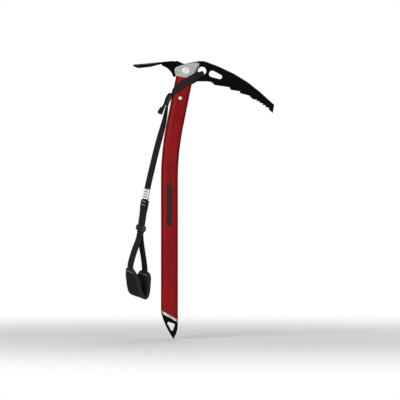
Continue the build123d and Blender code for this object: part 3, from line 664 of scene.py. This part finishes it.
def strand(route, side):
    """One strand of the loop as a middle surface, laid on the unrolled shaft and rolled on.

    A place is the centre line's, plus half the width across it. Right of the shaft's middle it
    stays at the lift; left of it, the distance becomes an arc length round the oval. Near the
    eye the lift falls to the fold's radius, as the 0.85 power of the distance from the fold.
    """
    flat = np.array([(u, 0, v) for u, v in route]) * MM
    line = smooth_route(flat)
    tangent = unit(np.gradient(line, axis=0))
    way = np.stack([-tangent[:, 2], 0 * tangent[:, 0], tangent[:, 0]], -1)
    run = lengths(line)
    width = FOLD_WIDTH + (SLEEVE_WIDTH - FOLD_WIDTH) * np.clip((run - 0.002) / 0.012, 0, 1) ** 0.8
    place = middle_surface(line, way, width)
    near_end = np.clip((run - run[-1] + 0.008) / 0.008, 0, 1)[:, None]
    shift = (REAR_EDGE_ACROSS - place[-1:, :, 0]) * near_end
    slope = tangent[-1, 2] / tangent[-1, 0]
    u, v = place[..., 0] + shift, place[..., 2] + shift * slope
    touch = math.atan2(LOOP_FACE_CENTRE, LOOP_END_CENTRE)
    face_radius, end_radius = LOOP_FACE_RADIUS + FOLD_RADIUS, SHAFT_END_RADIUS + FOLD_RADIUS
    face_arc = face_radius * (math.pi / 2 - touch)
    around = np.maximum(-u, 0)
    face_angle = np.minimum(around, face_arc) / face_radius
    end_angle = touch - np.maximum(around - face_arc, 0) / end_radius
    on_face = around <= face_arc
    x = np.where(on_face, -face_radius * np.sin(face_angle),
                 -LOOP_END_CENTRE - end_radius * np.cos(end_angle))
    y = np.where(on_face, face_radius * np.cos(face_angle) - LOOP_FACE_CENTRE,
                 end_radius * np.sin(end_angle))
    x = np.where(u > 0, u, x)
    from_fold = run[:, None] + 0 * u
    rise = np.clip(from_fold / 0.0165, 0, 1)
    y = np.where(u > 0, np.minimum(y, FOLD_RADIUS + (LOOP_LIFT - FOLD_RADIUS) * rise ** 0.85), y)
    points = SHAFT_TOP + ACROSS * x[..., None] + UP * v[..., None]
    points[..., 1] = side * y
    return points


front, back = strand(FRONT_STRAND, -1), strand(BACK_STRAND, 1)
fold_angle = np.linspace(-math.pi / 2, math.pi / 2, 7)[1:-1, None, None]
fold_out = unit(front[0] - front[4]) * [1, 0, 1]
fold = (front[0] + back[0]) / 2 + FOLD_RADIUS * (
    np.cos(fold_angle) * fold_out + np.sin(fold_angle) * [0, 1, 0])
loop_band = tape("head_loop_band", np.concatenate([front[::-1], fold, back]), "webbing", "axe")
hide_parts("head_loop")


def buckle_place(down, inward):
    """A point of the buckle's plane, in millimetres: down along it, inward to the shaft."""
    down, inward = np.asarray(down, float), np.asarray(inward, float)
    return BUCKLE + (BUCKLE_DOWN * down[..., None] + BUCKLE_IN * inward[..., None]) * MM


# The sleeve: webbing round the buckle's top bar, its two plies drawn together at the shaft's edge.
bar_angle = np.linspace(math.radians(62), math.radians(298), 40)
rear_edge = np.array([-0.0546, 0, -0.0408])
rear_edge = rear_edge - BAR_WAY * np.dot(rear_edge - BUCKLE, BAR_WAY)
to_edge = unit(rear_edge - BUCKLE)
square = np.cross(BAR_WAY, to_edge)
SLEEVE_RADIUS, SLEEVE_PLY_SHIFT = 0.00215, 0.0008
bend = BUCKLE + SLEEVE_RADIUS * (
    np.cos(bar_angle)[:, None] * to_edge + np.sin(bar_angle)[:, None] * square)
upper_end, lower_end = rear_edge + square * SLEEVE_PLY_SHIFT, rear_edge - square * SLEEVE_PLY_SHIFT
share = np.linspace(0, 1, 8)[1:, None]
sleeve_line = np.concatenate([
    (bend[0] + (upper_end - bend[0]) * share)[::-1], bend, bend[-1] + (lower_end - bend[-1]) * share])
sleeve = tape("buckle_sleeve", middle_surface(sleeve_line, BAR_WAY, SLEEVE_WIDTH), "webbing", "axe")

# ------------------------------------------------------------------ buckle and tail
refined("ladder_buckle", "ladder_lock", "plastic", "leash_strap", 0.0005)
tail_route = buckle_place([20.4, 15.0, 9.5, 5.3, 4.9, 8.0, 12.0, 18.5, 28.0, 38.4],
                          [3.0, 2.5, 2.7, 2.6, -1.9, -2.3, -2.2, -2.2, -3.0, -3.8])
TAIL_END_TURN = math.radians(30)


def tail_way(line):
    """The tail's width direction: the bar's at the buckle, turned further by a smooth step below it."""
    down = (line - BUCKLE) @ BUCKLE_DOWN
    further = np.clip((down - 0.019) / 0.017, 0, 1)
    turn = BUCKLE_TURN + (TAIL_END_TURN - BUCKLE_TURN) * further * further * (3 - 2 * further)
    return np.array([0, -1, 0]) * np.cos(turn)[:, None] + SHAFTWARD * np.sin(turn)[:, None]


tail_line = smooth_route(tail_route)
tail_line = tail_line[np.concatenate([[True], lengths(tail_line)[1:] > 0])]
tail = tape("strap_tail_ply", middle_surface(tail_line, tail_way(tail_line), WEBBING_WIDTH),
            "webbing", "leash_strap")
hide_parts("strap_tail")
hem_line = smooth_route(buckle_place([26.0, 30.0, 34.0, 37.3], [-4.5, -4.9, -5.2, -5.4]))
hem = tape("strap_tail_hem", middle_surface(hem_line, tail_way(hem_line), WEBBING_WIDTH),
           "webbing", "leash_strap")

# ------------------------------------------------------------------ main strap
strap_line = smooth_route(STRAP_ROUTE)
strap_run = lengths(strap_line)
turned = np.sin(np.clip(strap_run / strap_run[-1] / LEASH_TWIST_SHARE, 0, 1) * math.pi / 2)
strap_turn = BUCKLE_TURN + (LEASH_TWIST - BUCKLE_TURN) * turned
strap_way = np.stack([-np.sin(strap_turn), np.cos(strap_turn), LEASH_TILT * turned], -1)
strap_tangent = unit(np.gradient(strap_line, axis=0))
strap_way = unit(strap_way - strap_tangent * np.sum(strap_way * strap_tangent, 1, keepdims=True))
main_strap = tape("main_strap_webbing", middle_surface(strap_line, strap_way, WEBBING_WIDTH),
                  "webbing", "leash_strap")
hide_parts("main_strap")

# The woven label: a short tape stood off the strap's outer face over its own stretch.
LABEL_TOP, LABEL_BOTTOM = -0.2120, -0.2304
LABEL_LIFT, LABEL_WIDTH, LABEL_THICKNESS = 0.00125, 0.0146, 0.0005
label_heights = np.linspace(LABEL_TOP, LABEL_BOTTOM, 12)


def at_heights(rows):
    """Rows given along the strap's line, read at the label's heights."""
    return np.stack([np.interp(-label_heights, -strap_line[:, 2], column) for column in rows.T], -1)


outward = unit(np.cross(strap_way, strap_tangent))
outward *= np.sign(-outward[:, :1])
label = tape("woven_strap_label", middle_surface(
    at_heights(strap_line + outward * LABEL_LIFT), at_heights(strap_way), LABEL_WIDTH),
    "woven", "leash_strap", thickness=LABEL_THICKNESS)
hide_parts("strap_label")

# ------------------------------------------------------------------ neck, its seam and the slider
PLY_THICKNESS, NECK_APART, JUNCTION_APART = 0.0013, 0.00099, 0.0021
junction_end = np.array([-0.1043, 0, -0.2435]) + NECK_DOWN * 0.0025
closing_end = junction_end + NECK_DOWN * 0.007
X_WAY = np.array([1.0, 0, 0])
for side, name in ((-1, "neck_outer_ply"), (1, "neck_inner_ply")):
    route = np.array([
        NECK_TOP + X_WAY * side * JUNCTION_APART, junction_end + X_WAY * side * JUNCTION_APART,
        closing_end + X_WAY * side * NECK_APART,
        (closing_end + NECK_BOTTOM) / 2 + X_WAY * side * NECK_APART,
        NECK_BOTTOM + X_WAY * side * NECK_APART])
    line = smooth_route(route)
    ply = tape(name, middle_surface(line, NEAR, WEBBING_WIDTH), "webbing", "leash_strap", PLY_THICKNESS)
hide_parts("loop_neck")

# Bar tacks: threads laid side by side across the tape, each a short stitch along it.
for side, name in ((-1, "junction_seam_outer"), (1, "junction_seam_inner")):
    count = 25
    across = np.tile(np.linspace(-0.0052, 0.0052, count), 2)
    station = np.repeat([0.0022, 0.008], count)
    facing = unit(np.cross(NEAR, NECK_DOWN))
    facing *= side * np.sign(facing[0])
    places = (NECK_TOP + NECK_DOWN * station[:, None] + NEAR * across[:, None]
              + X_WAY * side * JUNCTION_APART + facing * (PLY_THICKNESS / 2 + 0.00005))
    ways, ups = np.tile(NECK_DOWN, (2 * count, 1)), np.tile(facing, (2 * count, 1))
    stitches(name, places, ways, ups, "leash_strap", length=0.0015, radius=0.00027)
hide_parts("junction_stitching")

slider = refined("wrist_slider", "loop_slider", "plastic", "slider", 0.0006)


# ------------------------------------------------------------------ wrist loop
def leg_place(apart, height):
    """A point of the plane in which the legs part, in millimetres: along AWAY, and height."""
    apart, height = np.asarray(apart, float) * MM, np.asarray(height, float) * MM
    return np.stack([HINGE[0] + apart * AWAY[0], apart * AWAY[1], height], -1)


NEAR_LEG = [(-0.9, -292.5), (-1.2, -300.0), (-11.7, -318.0), (-20.6, -338.0), (-26.0, -354.4),
            (-21.4, -364.0)]
FAR_LEG = [(0.9, -292.5), (1.2, -299.0), (4.2, -316.5), (9.0, -338.0), (12.6, -360.5),
           (10.3, -372.0)]
for route, name, node in (
    (NEAR_LEG, "near_leg_webbing", "near_leg"), (FAR_LEG, "far_leg_webbing", "far_leg"),
):
    line = smooth_route(leg_place(*np.array(route).T))
    leg = tape(name, middle_surface(line, NEAR, WEBBING_WIDTH), "webbing", None)
    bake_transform(leg, "leash_strap", "wrist_loop",
             start=HINGE - NECK_DOWN * 0.002, end=HINGE + NECK_DOWN * 0.014)
    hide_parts(node)

PAD_ROUTE = [(-25.7, -355.0), (-19.2, -368.5), (-15.4, -385.0), (-10.5, -400.5), (-1.8, -405.6),
             (4.6, -399.0), (7.6, -384.0), (9.6, -373.0), (12.7, -361.6)]
PAD_HEIGHTS = np.array([-412.0, -390.0, -371.0, -359.0, -352.0]) * MM
PAD_HALF_WIDTHS = np.array([19.0, 18.0, 16.3, 10.5, 8.6]) * MM
PAD_WAY = FLAT - np.array([0, 0, LEASH_TILT])
pad_rough = smooth_route(leg_place(*np.array(PAD_ROUTE).T))
pad_run = lengths(pad_rough)
PAD_LENGTH = pad_run[-1]
PAD_COVER_SHARE, PAD_MAP_HALF_WIDTH, PAD_CORNER = 0.93, 0.018, 0.005


def pad_at(run):
    """The pad's middle line, its half width and its unit normal at distances along it."""
    line = np.stack([np.interp(run, pad_run, pad_rough[:, axis]) for axis in range(3)], -1)
    tangent = np.gradient(pad_rough, axis=0)
    tangent = unit(np.stack([np.interp(run, pad_run, tangent[:, axis]) for axis in range(3)], -1))
    half = np.interp(line[:, 2], PAD_HEIGHTS, PAD_HALF_WIDTHS)
    return line, half, unit(np.cross(np.broadcast_to(PAD_WAY, line.shape), tangent))


def pad_surface(run, share, lift):
    """Points of the pad: middle line, plus half width times share, plus normal times lift.

    run and share are the two parameters of a grid, share running from -1 to 1 across. Both
    ends are rounded: the half width falls as a quarter circle over the last 5 mm.
    """
    line, half, normal = pad_at(run)
    from_end = np.minimum(run, PAD_LENGTH - run)
    near_end = np.clip(PAD_CORNER - from_end, 0, PAD_CORNER)
    cut = PAD_CORNER - np.sqrt(np.clip(PAD_CORNER ** 2 - near_end ** 2, 0, None))
    half = half - cut
    return (line[:, None] + PAD_WAY * (half[:, None] * share[None])[..., None]
            + normal[:, None] * lift[..., None])


def pad_lift(along, across):
    """The pad's half thickness, its wrinkles and its ripple, at shares along and across it.

    The half thickness is an edge height plus a crown: the root of 1 minus the share across to
    the seventh power, times the same with the 26th power along. The wrinkles are a sine along,
    bent by a sine across, that fades away from the bend as a bell curve.
    """
    crown = np.sqrt(np.clip(1 - np.abs(across / PAD_COVER_SHARE) ** 7, 0, 1))
    tips = np.sqrt(np.clip(1 - np.abs(2 * along - 1) ** 26, 0, 1))
    height = 0.0009 + 0.0019 * crown * tips
    bend = np.exp(-((along - 0.47) / 0.13) ** 2)
    wrinkle = 0.00022 * bend * np.sin(along * 150 + 2.2 * np.sin(across * 3.1)) * (1 - across ** 2)
    ripple = 0.00012 * np.sin(along * 37 + across * 2.6) * np.sin(across * 7 - along * 5)
    return height, wrinkle, ripple


def make_cushion():
    """The pad's cover round its foam: two crowned faces that meet in a narrow edge under the binding.

    The face inside the bend, to which the normal points, is lifted by the height plus the
    ripple. The face outside the bend is lifted by both plus the wrinkles.
    """
    rows, columns = 121, 49
    run = PAD_LENGTH * (0.5 - 0.5 * np.cos(np.linspace(0.02, math.pi - 0.02, rows)))
    share = np.sin(np.linspace(-math.pi / 2, math.pi / 2, columns)) * PAD_COVER_SHARE
    along, across = np.meshgrid(run / PAD_LENGTH, share, indexing="ij")
    height, wrinkle, ripple = pad_lift(along, across)
    inside = pad_surface(run, share, height + ripple)
    outside = pad_surface(run, share, -(height + wrinkle + ripple))
    ring = np.concatenate([inside, outside[:, -2:0:-1]], axis=1)
    middle = pad_surface(run, share, 0 * height)[:, columns // 2:columns // 2 + 1]
    around = np.r_[share, share[-2:0:-1]] * PAD_MAP_HALF_WIDTH
    uv = np.stack(np.broadcast_arrays(around[None], np.r_[0, run, run[-1]][:, None]), -1)
    return surface("pad_cushion", capped(ring, middle), "cover", "wrist_loop", close_around=True, uv=uv)


cushion = make_cushion()
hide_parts("pad_cover", "pad_foam")


def make_lining():
    """The lining: a closed skin along the cushion's face outside the bend, 0.2 mm to each side.

    The CAD has its lining inside the bend. This one is on the wrong face.
    """
    rows, columns = 101, 33
    run = np.linspace(0.003, PAD_LENGTH - 0.003, rows)
    share = np.linspace(-0.9, 0.9, columns)
    along, across = np.meshgrid(run / PAD_LENGTH, share, indexing="ij")
    height, wrinkle, ripple = pad_lift(along, across)
    lift = -(height + wrinkle + ripple)
    skin = pad_surface(run, share, lift - 0.0002)
    under = pad_surface(run, share, lift + 0.0002)
    ring = np.concatenate([under, skin[:, ::-1]], axis=1)
    middle = (skin + under)[:, columns // 2:columns // 2 + 1] / 2
    around = np.r_[share, share[::-1]] * PAD_MAP_HALF_WIDTH
    uv = np.stack(np.broadcast_arrays(around[None], np.r_[0, run, run[-1]][:, None]), -1)
    return surface("pad_inner_lining", capped(ring, middle), "lining", "wrist_loop", close_around=True,
                   uv=uv)


lining = make_lining()
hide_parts("pad_lining")


def make_binding():
    """The binding tape folded over the pad's whole rim: a flattened tube that follows the outline.

    The outline runs along both long edges and across both flap ends, with round corners. The
    tube's section is a rounded square, a little over the pad's thickness each way.
    """
    edge, corner = 0.0029, PAD_CORNER
    long_run = np.linspace(corner, PAD_LENGTH - corner, 90)
    turn = np.linspace(0, math.pi / 2, 9)[1:-1]

    def at(run, side, pull):
        line, half, normal = pad_at(run)
        return line + PAD_WAY * (side * (half - edge - pull))[:, None], normal

    right, right_up = at(long_run, 1.0, 0 * long_run)
    left, left_up = at(long_run[::-1], -1.0, 0 * long_run)
    top_run = PAD_LENGTH - corner + corner * 0.72 * np.sin(turn)
    a, a_up = at(top_run, 1.0, corner * (1 - np.cos(turn)))
    b, b_up = at(top_run[::-1], -1.0, (corner * (1 - np.cos(turn)))[::-1])
    low_run = corner - corner * 0.72 * np.sin(turn)
    c, c_up = at(low_run, -1.0, corner * (1 - np.cos(turn)))
    d, d_up = at(low_run[::-1], 1.0, (corner * (1 - np.cos(turn)))[::-1])
    share = np.linspace(0, 1, 10)[1:-1, None]
    far = a[-1] + (b[0] - a[-1]) * share
    close = c[-1] + (d[0] - c[-1]) * share
    line = np.concatenate([right, a, far, b, left, c, close, d])
    up = np.concatenate([right_up, a_up, np.repeat(a_up[-1:], len(share), 0), b_up, left_up, c_up,
                         np.repeat(c_up[-1:], len(share), 0), d_up])
    tangent = unit(np.roll(line, -1, 0) - np.roll(line, 1, 0))
    up = unit(up - tangent * np.sum(up * tangent, 1, keepdims=True))
    side = np.cross(tangent, up)
    turn = np.linspace(0, 2 * math.pi, 20, endpoint=False)
    half_thick, half_wide = 0.0031, 0.0031
    cosine, sine = np.cos(turn), np.sin(turn)
    ring = (side[:, None] * (np.sign(cosine) * np.abs(cosine) ** 0.8 * half_wide)[None, :, None]
            + up[:, None] * (np.sign(sine) * np.abs(sine) ** 0.7 * half_thick)[None, :, None])
    points = line[:, None] + ring
    points = np.concatenate([points, points[:1]])
    run = lengths(points[:, 0])
    uv = np.stack(np.broadcast_arrays((turn * 0.0022)[None], run[:, None]), -1)
    piece = surface("pad_binding_tape", points, "binding", "wrist_loop", close_around=True, uv=uv)
    modifier(piece, "WELD", merge_threshold=1e-6)
    return piece


binding = make_binding()
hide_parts("pad_binding")

# A grey bar tack across each flap holds it to its leg, on both faces.
TACK_FROM_END, TACK_LIFT = 0.0052, 0.0028
for name, station in (
    ("near_flap_tack", TACK_FROM_END), ("far_flap_tack", PAD_LENGTH - TACK_FROM_END),
):
    count = 27
    share = np.linspace(-0.66, 0.66, count)
    line, half, normal = pad_at(np.full(count, station))
    across = line + PAD_WAY * (half * share)[:, None]
    along = unit(pad_at(np.array([station + 0.001]))[0] - pad_at(np.array([station - 0.001]))[0])
    ways = np.tile(along, (2 * count, 1))
    places = np.concatenate([across + normal * TACK_LIFT, across - normal * TACK_LIFT])
    stitches(name, places, ways, np.concatenate([normal, -normal]), "wrist_loop",
             length=0.0016, radius=0.00028)


# ------------------------------------------------------------------ floor, light and camera
def make_floor():
    """A pale floor: a round disc under the spike's tip that fades out towards its edge."""
    turn = np.linspace(0, 2 * math.pi, 96, endpoint=False)
    radius = np.array([0.001, 0.3, 0.8, 1.6])[:, None]
    points = np.stack(np.broadcast_arrays(
        radius * np.cos(turn), -radius * np.sin(turn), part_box("spike_blade")[0].z - 0.0004), -1)
    floor = surface("pale_floor", points[::-1], "thread", None, close_around=True)
    floor.data.materials.clear()
    finish = Finish("pale_floor_paint", color(246, 246, 246), 0.9, 0.0)
    x, y = finish.axes()[:2]
    reach = finish.math("SQRT", x * x + y * y)
    finish.plug("Alpha", 1 - finish.step(reach, 0.2, 1.4))
    floor.data.materials.append(finish.material)


make_floor()


def area_light(name, place, aim, size, power):
    """A square soft light that looks at a point."""
    lamp = bpy.data.lights.new(name, "AREA")
    lamp.shape, lamp.size, lamp.energy = "SQUARE", size, power
    holder = placed(name, lamp)
    holder.location = place
    holder.rotation_euler = (Vector(aim) - Vector(place)).to_track_quat("-Z", "Y").to_euler()


MIDDLE = (-0.0037, 0.0, -0.2322)
area_light("key_light", (-1.5, -2.2, 0.7), MIDDLE, 1.8, 60)
area_light("fill_light", (1.7, -2.0, 0.0), MIDDLE, 1.8, 26)
area_light("top_light", (0.1, 0.2, 1.6), MIDDLE, 1.0, 8)
area_light("back_light", (0.5, 2.4, 0.9), MIDDLE, 1.6, 22)

world = bpy.data.worlds.new("studio")
bpy.context.scene.world = world
world.use_nodes = True
sky = world.node_tree
background = sky.nodes["Background"]
background.inputs["Color"].default_value = (1, 1, 1, 1)
seen = sky.nodes.new("ShaderNodeLightPath")
level = sky.nodes.new("ShaderNodeMapRange")
level.inputs["To Min"].default_value = 0.08
level.inputs["To Max"].default_value = 1.0
sky.links.new(seen.outputs["Is Camera Ray"], level.inputs["Value"])
sky.links.new(level.outputs[0], background.inputs["Strength"])

DISTANCE, FIELD = 6.0, 0.72
lens = bpy.data.cameras.new("camera")
lens.sensor_width = 36.0
lens.lens = lens.sensor_width * DISTANCE / FIELD
lens.clip_start, lens.clip_end = 0.1, 30.0
camera = placed("camera", lens)
camera.location = (MIDDLE[0], -DISTANCE, MIDDLE[2])
camera.rotation_euler = (math.pi / 2, 0, 0)
bpy.context.scene.camera = camera
bpy.context.scene.view_settings.view_transform = "Standard"
